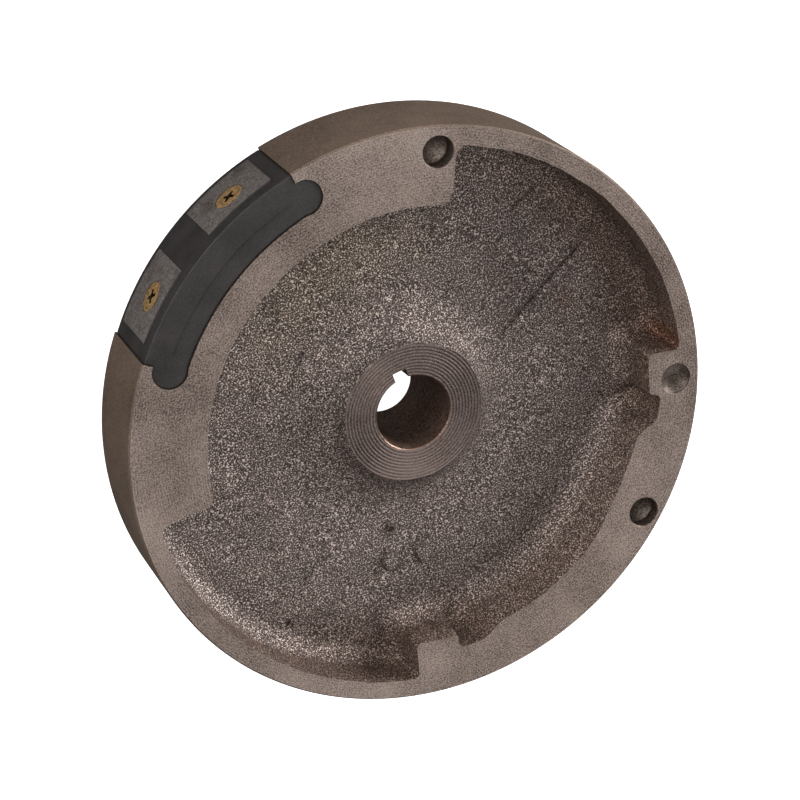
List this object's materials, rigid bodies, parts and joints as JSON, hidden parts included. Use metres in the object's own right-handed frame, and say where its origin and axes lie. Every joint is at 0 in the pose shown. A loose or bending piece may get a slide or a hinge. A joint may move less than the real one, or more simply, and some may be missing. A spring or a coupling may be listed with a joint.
{
  "type": "magneto flywheel",
  "caption": "Cast-iron small-engine flywheel with a keyed tapered bore, a dished web and a magnet group let into the rim.",
  "frame": {"origin": "on the wheel's axis, at the hub's back end", "axes": "+Z along the wheel's axis, out of the machined face that shows the magnet slot; +Y towards the keyway"},
  "size_m": [0.195, 0.195, 0.0404],
  "materials": {
    "cast_iron": "sand-cast, with turned rim and hub faces",
    "carrier": "moulded phenolic, matt",
    "magnet": "sintered ferrite, ground faces",
    "shoe_steel": "ground with the rim",
    "screw_brass": "turned, dulled"
  },
  "bodies": {
    "root": {"flywheel_casting": "cast_iron", "magnet_carrier": "carrier", "magnet_leading": "magnet", "magnet_trailing": "magnet", "pole_shoe_leading": "shoe_steel", "pole_shoe_trailing": "shoe_steel", "pole_screw_leading": "screw_brass", "pole_screw_trailing": "screw_brass"}
  },
  "joints": []
}
